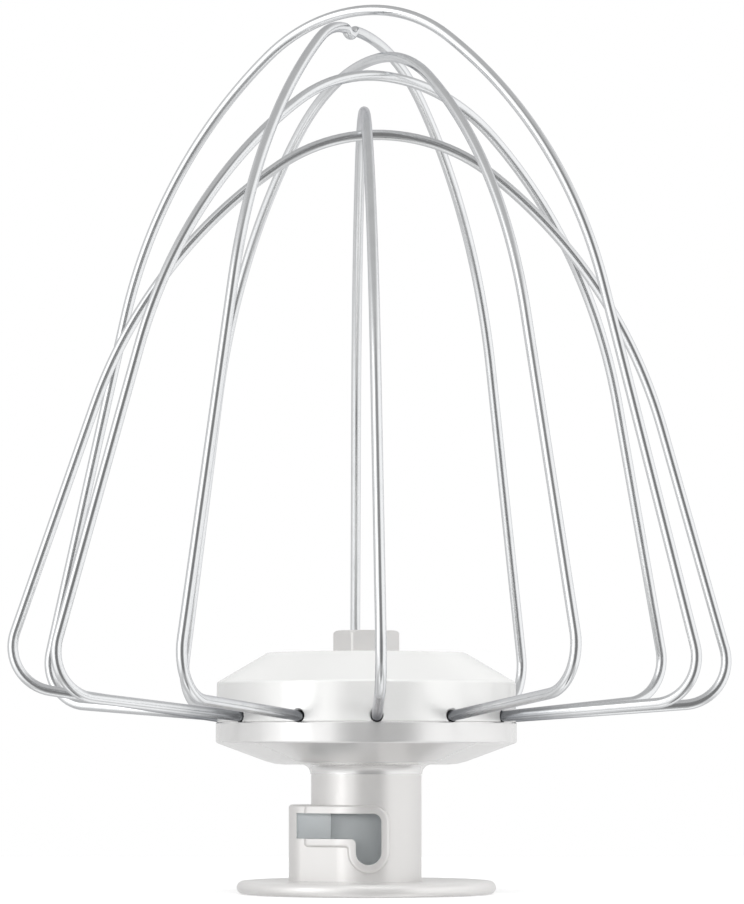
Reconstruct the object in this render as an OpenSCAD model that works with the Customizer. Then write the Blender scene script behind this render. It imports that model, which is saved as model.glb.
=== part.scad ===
// Wire whip for a stand mixer: six wire hoops clamped in a two-part hub, on a
// bayonet sleeve with a drip flange.
// Millimetres. The drive axis is Z, the underside of the flange lies at z = 0
// and the cage stands above the hub. The bayonet slot faces -Y.

/* [Drive sleeve] */
// Diameter of the mixer shaft that goes into the sleeve
shaft_d = 12.7; // [12:0.1:14]
// Gap between the shaft and the bore, on the radius
shaft_gap = 0.1; // [0.05:0.01:0.3]
// Wall of the sleeve around the bore
sleeve_wall = 2.95; // [2.5:0.05:3.5]
// Sleeve showing between the flange and the hub
sleeve_show = 18.1; // [16:0.1:22]
// Length of the sleeve inside the hub
spigot_l = 5.3; // [4.5:0.1:6]
// Thickness of the web that closes the socket
web_t = 3.5; // [2.5:0.1:5]

/* [Drip flange] */
// Diameter of the flange
flange_d = 44.1; // [36:0.1:50]
// Thickness of the flange, which has a full-round edge
flange_t = 2.2; // [1.8:0.1:3.2]

/* [Bayonet] */
// Diameter of the cross pin on the mixer shaft
pin_d = 4; // [3.4:0.1:4.2]
// Gap between the pin and its slot, on each side
pin_gap = 0.15; // [0.1:0.05:0.3]
// Reach of the pin's tip from the drive axis
pin_reach = 11.6; // [11:0.1:12.2]
// Gap beyond the pin's tip
tip_gap = 0.2; // [0.1:0.05:0.4]
// Wall outside the entry channel
channel_wall = 1.4; // [1:0.1:2]
// Radius of the boss's outer end
boss_end_r = 4.8; // [4:0.1:6]
// Height of the slot's upper edge over the flange
slot_rise = 11.5; // [10:0.1:12.5]
// Drop of the locking leg below the slot's upper edge
leg_drop = 8.6; // [7:0.1:9]
// Sideways place of the locking leg
leg_x = 0.4; // [-1:0.1:2]
// Radius of the slot's outer corner
slot_corner_r = 1.4; // [0.4:0.1:2]
// Width of the raised rim around the slot
rim_w = 1.4; // [1:0.1:1.8]
// Height of the raised rim over the sleeve
rim_h = 0.6; // [0.3:0.1:1]

/* [Hub base] */
// Diameter of the band
band_d = 51.3; // [50:0.1:56]
// Height of the band
band_h = 3.5; // [2.5:0.1:5]
// Chamfer on the band's edges
band_chamfer = 0.3; // [0.1:0.1:0.6]
// Width of the flat rim under the dish, from the neck outwards
dish_flat = 4.5; // [3:0.1:6]
// Radius of the bend between the flat rim and the dish's slope
dish_bend_r = 9; // [5:0.5:14]
// Rise of the dish from the flat rim to the band
dish_rise = 3.7; // [3:0.1:5]
// Height of the flared neck
neck_h = 1.6; // [1.2:0.1:2.4]
// Step from the sleeve out to the neck
neck_step = 0.35; // [0.1:0.05:0.8]

/* [Hub cap] */
// Step from the band in to the cap
cap_step = 0.15; // [0.1:0.05:0.5]
// Height of the upright side
side_h = 6.75; // [5:0.05:9]
// Rise of the bevel
bevel_rise = 5.05; // [3:0.05:7]
// Width of the bevel
bevel_run = 8.6; // [6:0.1:10]
// Chamfer between the side, the bevel and the top
cap_chamfer = 0.5; // [0.2:0.1:1]
// Wall of the cap
cap_wall = 3; // [2:0.1:4]
// Diameter of the boss that presses on the clamp plate
press_d = 16; // [12:0.5:20]

/* [Clamp] */
// Gap between the clamp plate and the cap's wall
plate_gap = 1; // [0.5:0.1:2]
// Thickness of the clamp plate
plate_t = 2; // [1.5:0.1:3]
// Height of the plate over the hub base
plate_lift = 0.5; // [0.2:0.1:0.8]
// Diameter of the stud
stud_d = 6; // [5:0.5:6]
// Gap around the stud in the parts that it passes through, on the radius
stud_gap = 0.2; // [0.1:0.05:0.4]
// Nut across its flats
nut_flats = 10; // [9:0.5:12]
// Height of the nut
nut_h = 3.8; // [3:0.1:6]
// Closed end of the nut over the stud
nut_skin = 0.6; // [0.4:0.1:1]
// Turn of the nut about the drive axis
nut_turn = 5; // [0:1:60]

/* [Wire] */
// Diameter of the wire
wire_d = 1.8; // [1.2:0.1:2.2]
// Gap around a wire in its bed
bed_gap = 0.15; // [0.1:0.05:0.3]
// Distance of the wire ends from the drive axis
anchor_r = 14; // [12:0.1:16]
// Depth of the hooked wire ends below the hub's parting
hook_depth = 3.6; // [2.5:0.1:4]
// Gap around a hook in its groove
hook_gap = 0.3; // [0.2:0.05:0.5]

/* [Cage] */
// Turn of the tallest hoop from the -Y side towards +X
cage_turn = 64; // [50:1:70]
// Distance from the axis at which the lines of a leg and its foot meet
corner_reach = 63.8; // [58:0.1:70]
// Height of that meeting point over the wire at the hub's edge, tallest hoop
corner_lift = 2.8; // [1:0.1:4]
// Further lift of it from one hoop to the next
lift_step = 0.3; // [0.1:0.02:0.5]
// Bend radius of the corners
corner_r = 7.6; // [6:0.1:12]
// Height of the tallest hoop's crown
crown_z = 152.2; // [148:0.1:156]
// Drop of the crown from one hoop to the next
crown_step = 4.36; // [4:0.02:5]
// Inward lean of the tallest hoop's legs
leg_lean = 15.2; // [14.5:0.1:16]
// Further lean from one hoop to the next
lean_step = 0.5; // [0.3:0.05:0.6]
// Bend radius of the shoulders
shoulder_r = 84.8; // [78:0.1:88]
// Turn of each shoulder
shoulder_turn = 36.4; // [34:0.1:38]
// Lean that a leg loses for each millimetre that its corner is pulled in
pull_lean = 1.6; // [1.2:0.1:2]
// Bend radius of the kink in the second hoop's crown
kink_r = 1.4; // [1.2:0.1:2.6]
// First and last turn of the kink
kink_down = 46; // [40:1:60]
kink_up = 46; // [38:1:55]
// Distance of the kink from the middle of its hoop, towards the front leg
kink_place = 4.3; // [2:0.1:8]

/* [Hidden] */
$fn = 96;
past = 1;  // how far a cut runs past the face it opens

steel = [0.78, 0.79, 0.8];
satin_white = [0.95, 0.95, 0.94];
satin_metal = [0.87, 0.87, 0.86];

bore_r = shaft_d/2 + shaft_gap;
sleeve_r = bore_r + sleeve_wall;
neck_z = flange_t + sleeve_show;
spigot_top = neck_z + spigot_l;
socket_top = spigot_top - web_t;

slot_w = pin_d + 2*pin_gap;
channel_x = pin_reach + tip_gap;
boss_x = channel_x + channel_wall - boss_end_r;
slot_z = flange_t + slot_rise;
leg_z = slot_z - leg_drop + slot_w/2;

dish_z = neck_z + neck_h;
neck_r = sleeve_r + neck_step;
band_z = dish_z + dish_rise;
parting_z = band_z + band_h;
band_r = band_d/2;
side_z = parting_z + side_h;
top_z = side_z + bevel_rise;
stud_hole_r = stud_d/2 + stud_gap;

wire_r = wire_d/2;
bed_r = wire_r + bed_gap;
rim_r = band_r - cap_step;
top_r = rim_r - bevel_run;
plate_r = rim_r - cap_wall - plate_gap;
foot_z = parting_z + wire_r;
hook_z = parting_z - hook_depth;
plate_z = parting_z + plate_lift;
bead = 0.01;  // a joint's ball stands this much over the wire, so that the lengths join into one solid

// What sets each hoop apart from the plain pattern, tallest first: turn, lean
// and tip of its plane in degrees, then the plane's offset from the axis, the
// hoop's slide in it, how far the rear corner is pulled in, and the crown's rise.
HOOPS = [
  [ 0.3, -0.1,  0.8, -0.5, -1.2,  1.0, -0.2],
  [-2.2, -0.1, -0.4,  0.1,  0.0,  2.1, -0.1],
  [-0.5,  0.8,  2.2, -0.9, -0.3,  3.4,  0.5],
  [-2.2,  0.0,  0.7,  2.9, -0.3,  2.7,  0.6],
  [-1.9, -0.1, -0.4,  0.2, -0.2, -0.2, -1.0],
  [-0.6,  1.2, -1.6, -0.3, -0.9,  0.7,  0.2],
];
KINKED = 1;
function turn_of(k) = HOOPS[k][0];
function lean_of(k) = HOOPS[k][1];
function tip_of(k) = HOOPS[k][2];
function offset_of(k) = HOOPS[k][3];
function slide_of(k) = HOOPS[k][4];
function pull_of(k) = HOOPS[k][5];
function rise_of(k) = HOOPS[k][6];

// Hoops go round in pairs that cross at right angles, and the legs stand evenly.
leg_step = 180/len(HOOPS);
function even_turn(k) = cage_turn - leg_step*floor(k/2) - 90*(k%2);

// One side of a hoop: side 1 is the front leg, -1 the rear leg.
function reach(k, side) = corner_reach - (side < 0 ? pull_of(k) : 0);
function lean(k, side) = leg_lean + lean_step*k - (side < 0 ? pull_lean*pull_of(k) : 0);
function lift(k) = corner_lift + lift_step*k;
function foot_rise(k, side) = atan2(lift(k), reach(k, side) - rim_r);
function corner_turn(k, side) = 90 + lean(k, side) - foot_rise(k, side);
function corner_tangent(k, side) = corner_r*tan(corner_turn(k, side)/2);
function crown_turn(k, side) = 90 - lean(k, side) - shoulder_turn;
function crown(k) = crown_z - crown_step*k + rise_of(k);

// The kink: how far it runs and how much it falls.
function kink_run() = 2*kink_r*(sin(kink_down) + sin(kink_up));
function kink_fall() = 2*kink_r*(cos(kink_up) - cos(kink_down));
function middle(k) = k == KINKED ? kink_place : 0;
function half_gap(k) = k == KINKED ? kink_run()/2 : 0;
function half_fall(k) = k == KINKED ? kink_fall()/2 : 0;

// Straight leg and crown radius that bring a side from its corner to the crown.
function arc_step(r, from, to) = r*[cos(to) - cos(from), sin(to) - sin(from)];
function leg_and_crown(k, side) =
  let (a = lean(k, side),
       across = side*middle(k) + half_gap(k) - reach(k, side),
       up = crown(k) + side*half_fall(k) - foot_z - lift(k),
       shoulder = arc_step(shoulder_r, a, a + shoulder_turn),
       top = arc_step(1, a + shoulder_turn, 90),
       x = across - shoulder[0],
       z = up - shoulder[1],
       det = -sin(a)*top[1] - cos(a)*top[0])
  [(x*top[1] - z*top[0])/det, (-sin(a)*z - cos(a)*x)/det];

// A point of a hoop's plane: u towards the front leg, w up from the foot.
function placed(k, u, w) =
  let (a = even_turn(k) + turn_of(k),
       u1 = (u + slide_of(k))*cos(lean_of(k)) - w*sin(lean_of(k)),
       w1 = (u + slide_of(k))*sin(lean_of(k)) + w*cos(lean_of(k)),
       v = offset_of(k) + w1*sin(tip_of(k)))
  [u1*sin(a) + v*cos(a), v*sin(a) - u1*cos(a), foot_z + w1*cos(tip_of(k))];
module place(k) {
  rotate([0, 0, even_turn(k) + turn_of(k) - 90])
    translate([0, offset_of(k), foot_z])
      rotate([-tip_of(k), 0, 0])
        rotate([0, -lean_of(k), 0])
          translate([slide_of(k), 0, 0])
            children();
}

function foot_length(k, side) =
  norm([reach(k, side) - rim_r, lift(k)]) - corner_tangent(k, side);
function foot_end(k, side) =
  placed(k, side*(rim_r + foot_length(k, side)*cos(foot_rise(k, side))),
         foot_length(k, side)*sin(foot_rise(k, side)));

// A foot runs straight from its corner through its notch at the hub's edge to its anchor.
function notch(k, side) = [side*rim_r*sin(even_turn(k)), -side*rim_r*cos(even_turn(k)), foot_z];
function anchor(k, side) =
  let (inward = notch(k, side) - foot_end(k, side))
  notch(k, side) + inward*(rim_r - anchor_r)/norm([inward[0], inward[1]]);

module rod(from, to, r) {
  d = to - from;
  translate(from)
    rotate([0, acos(d[2]/norm(d)), atan2(d[1], d[0])])
      cylinder(r = r, h = norm(d));
}

// A bend of the wire from +X, towards +Z for a positive turn.
module bend(r, turn) {
  side = sign(turn);
  mirror([0, 0, side < 0 ? 1 : 0])
    translate([0, 0, r])
      rotate([90, 0, 0])
        rotate([0, 0, -90])
          rotate_extrude(angle = abs(turn))
            translate([r, 0])
              circle(r = wire_r);
}

// Lays straight lengths [l] and bends [r, turn] one after another, from +X on.
module lay(moves, i = 0) {
  sphere(r = wire_r + bead);
  if (i < len(moves)) {
    m = moves[i];
    if (len(m) == 1) {
      rotate([0, 90, 0])
        cylinder(r = wire_r, h = m[0]);
      translate([m[0], 0, 0])
        lay(moves, i + 1);
    } else {
      bend(m[0], m[1]);
      translate([0, 0, sign(m[1])*m[0]])
        rotate([0, -m[1], 0])
          translate([0, 0, -sign(m[1])*m[0]])
            lay(moves, i + 1);
    }
  }
}

module foot(k, side) {
  tip = anchor(k, side);
  rod(tip, foot_end(k, side), wire_r);
  sphere_at(tip);
  rod([tip[0], tip[1], hook_z], tip, wire_r);
}
module sphere_at(p) {
  translate(p)
    sphere(r = wire_r + bead);
}

// The middle of a hoop: one bend, or the kink between two bends.
function top_moves(k, front, rear) =
  k == KINKED
    ? [[front, crown_turn(k, 1)],
       [kink_r, kink_down], [kink_r, -kink_down - kink_up], [kink_r, kink_up],
       [rear, crown_turn(k, -1)]]
    : front == rear
      ? [[front, 2*crown_turn(k, 1)]]
      : [[front, crown_turn(k, 1)], [rear, crown_turn(k, -1)]];

module wire_loop(k) {
  front = leg_and_crown(k, 1);
  rear = leg_and_crown(k, -1);
  start = rim_r + foot_length(k, 1)*cos(foot_rise(k, 1));
  color(steel) {
    foot(k, 1);
    foot(k, -1);
    place(k)
      translate([start, 0, foot_length(k, 1)*sin(foot_rise(k, 1))])
        rotate([0, -foot_rise(k, 1), 0])
          lay(concat(
            [[corner_r, corner_turn(k, 1)], [front[0] - corner_tangent(k, 1)], [shoulder_r, shoulder_turn]],
            top_moves(k, front[1], rear[1]),
            [[shoulder_r, shoulder_turn], [rear[0] - corner_tangent(k, -1)], [corner_r, corner_turn(k, -1)]]));
  }
}
module wire_loop_1() { wire_loop(0); }
module wire_loop_2() { wire_loop(1); }
module wire_loop_3() { wire_loop(2); }
module wire_loop_4() { wire_loop(3); }
module wire_loop_5() { wire_loop(4); }
module wire_loop_6() { wire_loop(5); }

// Beds for the feet of all the wires.
module wire_beds() {
  for (k = [0:len(HOOPS) - 1], side = [-1, 1])
    rod(anchor(k, side), foot_end(k, side), bed_r);
}

module entry_channel() {
  translate([-channel_x, -slot_w/2, -past])
    cube([channel_x, slot_w, slot_z + past]);
}

// The slot as it is seen from -Y, grown by a margin: x across, y up.
module slot_outline(grow) {
  r = slot_corner_r + grow;
  half = slot_w/2 + grow;
  right = leg_x + half;
  top = slot_z + grow;
  translate([-channel_x, slot_z - slot_w - grow])
    square([channel_x + right - r, slot_w + 2*grow]);
  translate([right - r, top - r])
    circle(r = r);
  translate([leg_x - half, leg_z])
    square([2*half, top - r - leg_z]);
  translate([leg_x, leg_z])
    circle(r = half);
}
module through_front(depth) {
  rotate([90, 0, 0])
    linear_extrude(height = depth)
      children();
}

// The sleeve's outside: a round tube, the boss over the entry channel and the rim around the slot.
module boss_plan() {
  angle = acos((sleeve_r - boss_end_r)/boss_x);
  translate([-boss_x, 0])
    circle(r = boss_end_r);
  polygon([for (s = [1, -1]) each [
    sleeve_r*[-cos(angle), s*sin(angle)],
    [-boss_x, 0] + boss_end_r*[-cos(angle), s*sin(angle)],
  ]], paths = [[0, 1, 3, 2]]);
}
module drive_sleeve() {
  color(satin_metal)
    difference() {
      union() {
        cylinder(r = sleeve_r, h = spigot_top);
        translate([0, 0, flange_t])
          linear_extrude(height = slot_z + rim_w - flange_t)
            boss_plan();
        intersection() {
          translate([0, 0, flange_t])
            cylinder(r = sleeve_r + rim_h, h = neck_z - flange_t);
          through_front(2*sleeve_r)
            slot_outline(rim_w);
        }
      }
      translate([0, 0, -past])
        cylinder(r = bore_r, h = socket_top + past);
      translate([0, 0, socket_top - past])
        cylinder(r = stud_d/2, h = web_t + 2*past);
      entry_channel();
      through_front(2*sleeve_r)
        slot_outline(0);
    }
}

module drip_flange() {
  edge_r = flange_t/2;
  color(satin_metal)
    difference() {
      rotate_extrude() {
        square([flange_d/2 - edge_r, flange_t]);
        translate([flange_d/2 - edge_r, edge_r])
          circle(r = edge_r);
      }
      translate([0, 0, -past])
        cylinder(r = sleeve_r, h = flange_t + 2*past);
      entry_channel();
    }
}

// Underside of the dish from the flat rim to the band: a bend, then a straight slope.
module dish_half() {
  flat_r = neck_r + neck_h + dish_flat;
  edge_r = band_r - band_chamfer;
  slope = atan2(dish_rise, edge_r - flat_r);
  bend = dish_bend_r*tan(slope/2);
  polygon(concat(
    [[0, dish_z], [flat_r - bend, dish_z]],
    [for (a = [slope/6:slope/6:slope])
      [flat_r - bend + dish_bend_r*sin(a), dish_z + dish_bend_r*(1 - cos(a))]],
    [[edge_r, band_z], [band_r, band_z + band_chamfer], [band_r, parting_z - band_chamfer],
     [band_r - band_chamfer, parting_z], [0, parting_z]]));
}
module hub_base() {
  color(satin_metal)
    difference() {
      rotate_extrude() {
        dish_half();
        difference() {
          translate([0, neck_z])
            square([neck_r + neck_h, neck_h]);
          translate([neck_r + neck_h, neck_z])
            circle(r = neck_h);
        }
      }
      translate([0, 0, neck_z - past])
        cylinder(r = sleeve_r, h = spigot_l + past);
      cylinder(r = stud_hole_r, h = parting_z + past);
      rotate_extrude()
        translate([anchor_r - wire_r - hook_gap, hook_z - hook_gap])
          square([wire_d + 2*hook_gap, hook_depth + hook_gap + past]);
      wire_beds();
    }
}

module hub_cap() {
  fall = atan2(bevel_rise, rim_r - top_r);
  c = cap_chamfer;
  inner_r = rim_r - cap_wall;
  roof_z = top_z - cap_wall;
  color(satin_white)
    difference() {
      rotate_extrude()
        difference() {
          polygon([[0, parting_z], [rim_r, parting_z], [rim_r, side_z - c],
                   [rim_r - c*cos(fall), side_z + c*sin(fall)],
                   [top_r + c*cos(fall), top_z - c*sin(fall)],
                   [top_r - c, top_z], [0, top_z]]);
          polygon([[press_d/2, parting_z - past], [inner_r, parting_z - past], [inner_r, side_z - cap_wall/2],
                   [top_r, roof_z], [press_d/2, roof_z]]);
          translate([0, parting_z - past])
            square([press_d/2, plate_lift + plate_t + past]);
          square([stud_hole_r, top_z + past]);
        }
      wire_beds();
    }
}

module clamp_plate() {
  color(steel)
    difference() {
      translate([0, 0, plate_z])
        cylinder(r = plate_r, h = plate_t);
      cylinder(r = stud_hole_r, h = top_z);
      wire_beds();
    }
}

module clamp_stud() {
  color(steel)
    translate([0, 0, socket_top])
      cylinder(r = stud_d/2, h = top_z + nut_h - nut_skin - socket_top);
}

module hex_nut() {
  corner = nut_flats/sqrt(3);
  color(steel)
    translate([0, 0, top_z])
      difference() {
        intersection() {
          rotate([0, 0, nut_turn])
            cylinder(r = corner, h = nut_h, $fn = 6);
          cylinder(r1 = corner + nut_h, r2 = nut_flats/2 - nut_skin/2, h = nut_h);
        }
        translate([0, 0, -past])
          cylinder(r = stud_d/2, h = nut_h - nut_skin + past);
      }
}

drip_flange();
drive_sleeve();
hub_base();
hub_cap();
clamp_plate();
clamp_stud();
hex_nut();
wire_loop_1();
wire_loop_2();
wire_loop_3();
wire_loop_4();
wire_loop_5();
wire_loop_6();
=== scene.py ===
"""Wire whip for a stand mixer: wire hoops in a two-part hub on a bayonet sleeve.

Laid out as a Blender add-on and run as a script. Lengths are metres, the drive
axis is Z and the whip stands on its drip flange at z = 0.
"""

from math import acos, atan2, cos, degrees, hypot, pi, radians, sin, sqrt, tan

import bmesh
import bpy
from bpy.props import FloatProperty, FloatVectorProperty, IntProperty, PointerProperty
from mathutils import Matrix, Vector


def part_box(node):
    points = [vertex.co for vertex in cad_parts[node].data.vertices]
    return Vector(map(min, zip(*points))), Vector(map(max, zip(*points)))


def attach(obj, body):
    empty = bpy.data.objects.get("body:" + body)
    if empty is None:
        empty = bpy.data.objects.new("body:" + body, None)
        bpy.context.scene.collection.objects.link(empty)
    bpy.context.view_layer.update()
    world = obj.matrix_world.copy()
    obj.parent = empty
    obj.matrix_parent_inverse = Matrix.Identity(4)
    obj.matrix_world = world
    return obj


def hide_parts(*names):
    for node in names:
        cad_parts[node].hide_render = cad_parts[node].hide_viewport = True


bl_info = {
    "name": "Mixer Wire Whip",
    "version": (1, 0, 0),
    "blender": (4, 5, 0),
    "location": "View3D > Sidebar > Wire Whip",
    "description": "Builds a stand mixer's wire whip with its hub, sleeve and flange",
    "category": "Add Mesh",
}

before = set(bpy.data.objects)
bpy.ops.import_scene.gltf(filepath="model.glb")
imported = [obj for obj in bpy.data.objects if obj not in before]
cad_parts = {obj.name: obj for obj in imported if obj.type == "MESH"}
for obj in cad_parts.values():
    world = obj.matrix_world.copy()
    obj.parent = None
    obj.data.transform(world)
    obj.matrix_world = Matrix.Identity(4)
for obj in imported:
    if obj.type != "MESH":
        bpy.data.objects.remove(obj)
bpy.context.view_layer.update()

MM = 0.001
PAST = 1 * MM  # how far a cut runs past the face it opens
TINY = 0.001 * MM  # what a height may be off and still count as the same
FULL = 0.98  # share of the room for it that a full rounding takes, so its ends don't meet
FLANGE_LOW, FLANGE_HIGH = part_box("drip_flange")
BASE_LOW, BASE_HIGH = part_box("hub_base")
CAP_LOW, CAP_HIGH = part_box("hub_cap")
NUT_LOW, NUT_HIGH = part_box("hex_nut")
SLEEVE_LOW, SLEEVE_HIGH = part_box("drive_sleeve")
PARTING_Z = CAP_LOW.z  # where the cap and the base meet


# ---------------------------------------------------------------- sizes

def length(label, text, value):
    """A length, given in millimetres and kept in metres."""
    return FloatProperty(name=label, description=text, default=value * MM,
                         min=0.0, max=1.0, unit="LENGTH", subtype="DISTANCE")


def angle(label, text, value):
    """An angle, given in degrees and kept in radians."""
    return FloatProperty(name=label, description=text, default=radians(value), subtype="ANGLE")


def colour(label, text, value):
    """A linear colour."""
    return FloatVectorProperty(name=label, description=text, default=value, size=3,
                               min=0.0, max=1.0, subtype="COLOR")


class WhipWireSizes(bpy.types.PropertyGroup):
    """Sizes of the cage. A corner's point is where the lines of its foot and its leg meet"""
    wire_d: length("Wire", "Diameter of the wire", 1.8)
    bed_gap: length("Bed gap", "Gap around a wire in its notch in the cap", 0.15)
    anchor_r: length("Anchor radius", "Distance of the wire ends from the axis", 14)
    hook_depth: length("Hook depth", "Depth of the hooked wire ends below the hub's parting", 3.6)
    hook_bend_r: length("Hook bend", "Reach of the small bend at a hook", 1.2)
    cage_turn: angle("Cage turn", "Turn of the tallest hoop from -Y towards +X", 64)
    corner_reach: length("Corner reach", "Distance of the corners' points from the axis", 63.8)
    corner_lift: length("Corner lift", "Height of the corners' points over the notches", 2.8)
    lift_step: length("Lift step", "Further lift from one hoop to the next", 0.3)
    corner_r: length("Corner radius", "Bend radius of the corners", 7.6)
    crown_z: length("Crown height", "Height of the tallest hoop's crown", 152.2)
    crown_step: length("Crown step", "Drop of the crown from one hoop to the next", 4.36)
    leg_lean: angle("Leg lean", "Inward lean of the tallest hoop's legs", 15.2)
    lean_step: angle("Lean step", "Further lean from one hoop to the next", 0.5)
    shoulder_r: length("Shoulder radius", "Bend radius of the shoulders", 84.8)
    shoulder_turn: angle("Shoulder turn", "Turn of each shoulder", 36.4)
    pull_lean: angle("Pull lean", "Lean that a leg loses per millimetre of pull", 1.6)
    kink_r: length("Kink radius", "Bend radius of the kink in the second hoop", 1.4)
    kink_down: angle("Kink down", "First turn of the kink", 46)
    kink_up: angle("Kink up", "Last turn of the kink", 46)
    kink_place: length("Kink place", "Distance of the kink from its hoop's middle", 4.3)
    sides: IntProperty(name="Sides", description="Sides of the wire's section",
                       default=20, min=8, max=48)


class WhipHubSizes(bpy.types.PropertyGroup):
    """Sizes of the flange, the hub's base and cap, the clamp and the nut"""
    segments: IntProperty(name="Segments", description="Steps round a turned part",
                          default=192, min=32, max=512)
    flange_round: length("Flange round", "Radius of the flange's full-round edge", 1.08)
    neck_h: length("Neck height", "Height of the flared neck", 1.6)
    neck_step: length("Neck step", "Step from the sleeve out to the neck", 0.15)
    dish_flat: length("Dish flat", "Width of the flat rim under the dish", 4.5)
    dish_bend_r: length("Dish bend", "Radius between the flat rim and the slope", 9)
    dish_rise: length("Dish rise", "Rise of the dish from the flat rim to the band", 3.7)
    band_round: length("Band round", "Rounding of the band's upper edge", 0.3)
    band_low_round: length("Band low round", "Rounding of the band's lower edge", 0.45)
    cap_step: length("Cap step", "Step from the band in to the cap", 0.15)
    side_h: length("Side height", "Height of the cap's upright side", 6.75)
    bevel_run: length("Bevel width", "Width of the cap's bevel", 8.6)
    cap_wall: length("Cap wall", "Wall of the cap", 3)
    cap_round: length("Cap round", "Rounding of the cap's edges", 0.6)
    press_r: length("Press radius", "Radius of the boss that presses on the clamp plate", 8)
    plate_top: length("Plate top", "Height of the clamp plate's top over the parting", 2.5)
    hook_gap: length("Hook gap", "Gap around a wire's hook in its groove", 0.3)
    notch_flare: length("Notch flare", "Rounding of the mouth of a wire's notch", 0.15)
    stud_r: length("Stud radius", "Radius of the stud", 3)
    stud_gap: length("Stud gap", "Gap around the stud", 0.2)
    stud_sides: IntProperty(name="Stud sides", description="Steps round the stud's holes",
                            default=64, min=16, max=256)
    nut_flats: length("Nut flats", "Nut across its flats", 10)
    nut_skin: length("Nut skin", "Closed end of the nut over the stud", 0.6)
    nut_turn: angle("Nut turn", "Turn of the nut about the drive axis", 5)
    nut_round: length("Nut round", "Rounding of the nut's top corners", 0.9)
    nut_edge: length("Nut edge", "Rounding of the nut's upright edges", 0.405)


class WhipSleeveSizes(bpy.types.PropertyGroup):
    """Sizes of the sleeve with its bayonet slot"""
    sleeve_r: length("Sleeve radius", "Outer radius of the sleeve", 9.4)
    web_t: length("Web", "Thickness of the web that closes the socket", 3.5)
    bore_r: length("Bore radius", "Radius of the socket", 6.45)
    slot_w: length("Slot width", "Width of the bayonet slot", 4.3)
    channel_x: length("Channel reach", "Reach of the entry channel from the axis", 11.8)
    channel_wall: length("Channel wall", "Wall outside the entry channel", 1.4)
    boss_end_r: length("Boss end", "Radius of the boss's outer end", 4.8)
    slot_rise: length("Slot rise", "Height of the slot's upper edge over the flange", 11.5)
    leg_drop: length("Leg drop", "Drop of the locking leg below the upper edge", 8.6)
    leg_x: length("Leg place", "Sideways place of the locking leg", 0.4)
    slot_corner_r: length("Slot corner", "Radius of the slot's outer corner", 1.4)
    elbow_r: length("Slot elbow", "Radius of the slot's inner corner", 0.8)
    rim_w: length("Rim width", "Width of the raised rim", 1.4)
    rim_h: length("Rim height", "Height of the raised rim", 0.6)
    rim_reach: length("Rim reach", "Distance of the rim's end on the boss from the axis", 10.5)
    soft_edge: length("Soft edge", "Rounding of the rim's and the boss's edges", 0.5)


class WhipColours(bpy.types.PropertyGroup):
    """Colours of the metals, the painted shade on the wire, and the floor"""
    wire: colour("Wire", "Colour of the drawn steel wire", (0.80, 0.81, 0.82))
    # Painted shade: the wire turns to this dark grey near the hub, in place of the shadow and dark
    # reflections on its feet.
    wire_painted_shade: colour("Painted wire shade", "Colour of the wire near the hub", (0.27, 0.28, 0.295))
    cap: colour("Cap", "Colour of the hub cap", (0.93, 0.93, 0.92))
    base: colour("Base", "Colour of the hub base", (0.84, 0.835, 0.83))
    metal: colour("Metal", "Colour of the sleeve and its flange", (0.86, 0.848, 0.836))
    socket: colour("Socket", "Colour of the bore and the slot's walls", (0.9, 0.93, 0.94))
    nut: colour("Nut", "Colour of the nut", (0.75, 0.74, 0.73))
    inner: colour("Inner steel", "Colour of the clamp plate and the stud", (0.55, 0.56, 0.57))
    floor: colour("Floor", "Colour of the floor", (0.64, 0.64, 0.64))


class WhipStageSizes(bpy.types.PropertyGroup):
    """Place and lens of the camera"""
    distance: length("Camera distance", "Distance of the camera from the drive axis", 719.4)
    height: length("Camera height", "Height of the camera over the floor", 24.1)
    aside: length("Camera side step", "Side step of the camera", 0.97)
    tilt: angle("Camera tilt", "Upward tilt of the camera", 4.07)
    lens: FloatProperty(name="Lens", description="Focal length in millimetres", default=167.65)


# What sets each hoop apart from the plain pattern, tallest first: turn, lean
# and tip of its plane in degrees, then the plane's offset from the axis, the
# hoop's slide in it, how far the rear corner is pulled in, and the crown's
# rise, in millimetres.
HOOPS = (
    (0.3, -0.1, 0.8, -0.5, -1.2, 1.0, -0.2),
    (-2.2, -0.1, -0.4, 0.1, 0.0, 2.1, -0.1),
    (-0.5, 0.8, 2.2, -0.9, -0.3, 3.4, 0.5),
    (-2.2, 0.0, 0.7, 2.9, -0.3, 2.7, 0.6),
    (-1.9, -0.1, -0.4, 0.2, -0.2, -0.2, -1.0),
    (-0.6, 1.2, -1.6, -0.3, -0.9, 0.7, 0.2),
)
KINKED = 1  # the hoop with a kink in its crown
FRONT, REAR = 1, -1  # the two sides of a hoop


# ---------------------------------------------------------------- mesh helpers

def shade(obj, sharp):
    """Smooth shading; edges past an angle in degrees stay sharp."""
    bm = bmesh.new()
    bm.from_mesh(obj.data)
    for face in bm.faces:
        face.smooth = True
    for edge in bm.edges:
        edge.smooth = not edge.is_manifold or edge.calc_face_angle(0) < radians(sharp)
    bm.to_mesh(obj.data)
    bm.free()


def rounded(points, radii, step=15):
    """An outline's points, with an arc at each corner that radii gives a radius.

    The arcs are drawn in steps of about step degrees.
    """
    result = []
    for i, point in enumerate(points):
        here = Vector(point)
        radius = radii.get(i)
        if not radius:
            result.append(here)
            continue
        to_last = (Vector(points[i - 1]) - here).normalized()
        to_next = (Vector(points[(i + 1) % len(points)]) - here).normalized()
        half = to_last.angle(to_next) / 2
        centre = here + (to_last + to_next).normalized() * radius / sin(half)
        start = here + to_last * radius / tan(half) - centre
        end = here + to_next * radius / tan(half) - centre
        turn = pi - 2 * half
        count = max(2, round(degrees(turn) / step))
        for j in range(count + 1):
            a = turn * j / count
            result.append(centre + (start * sin(turn - a) + end * sin(a)) / sin(turn))
    return result


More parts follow.
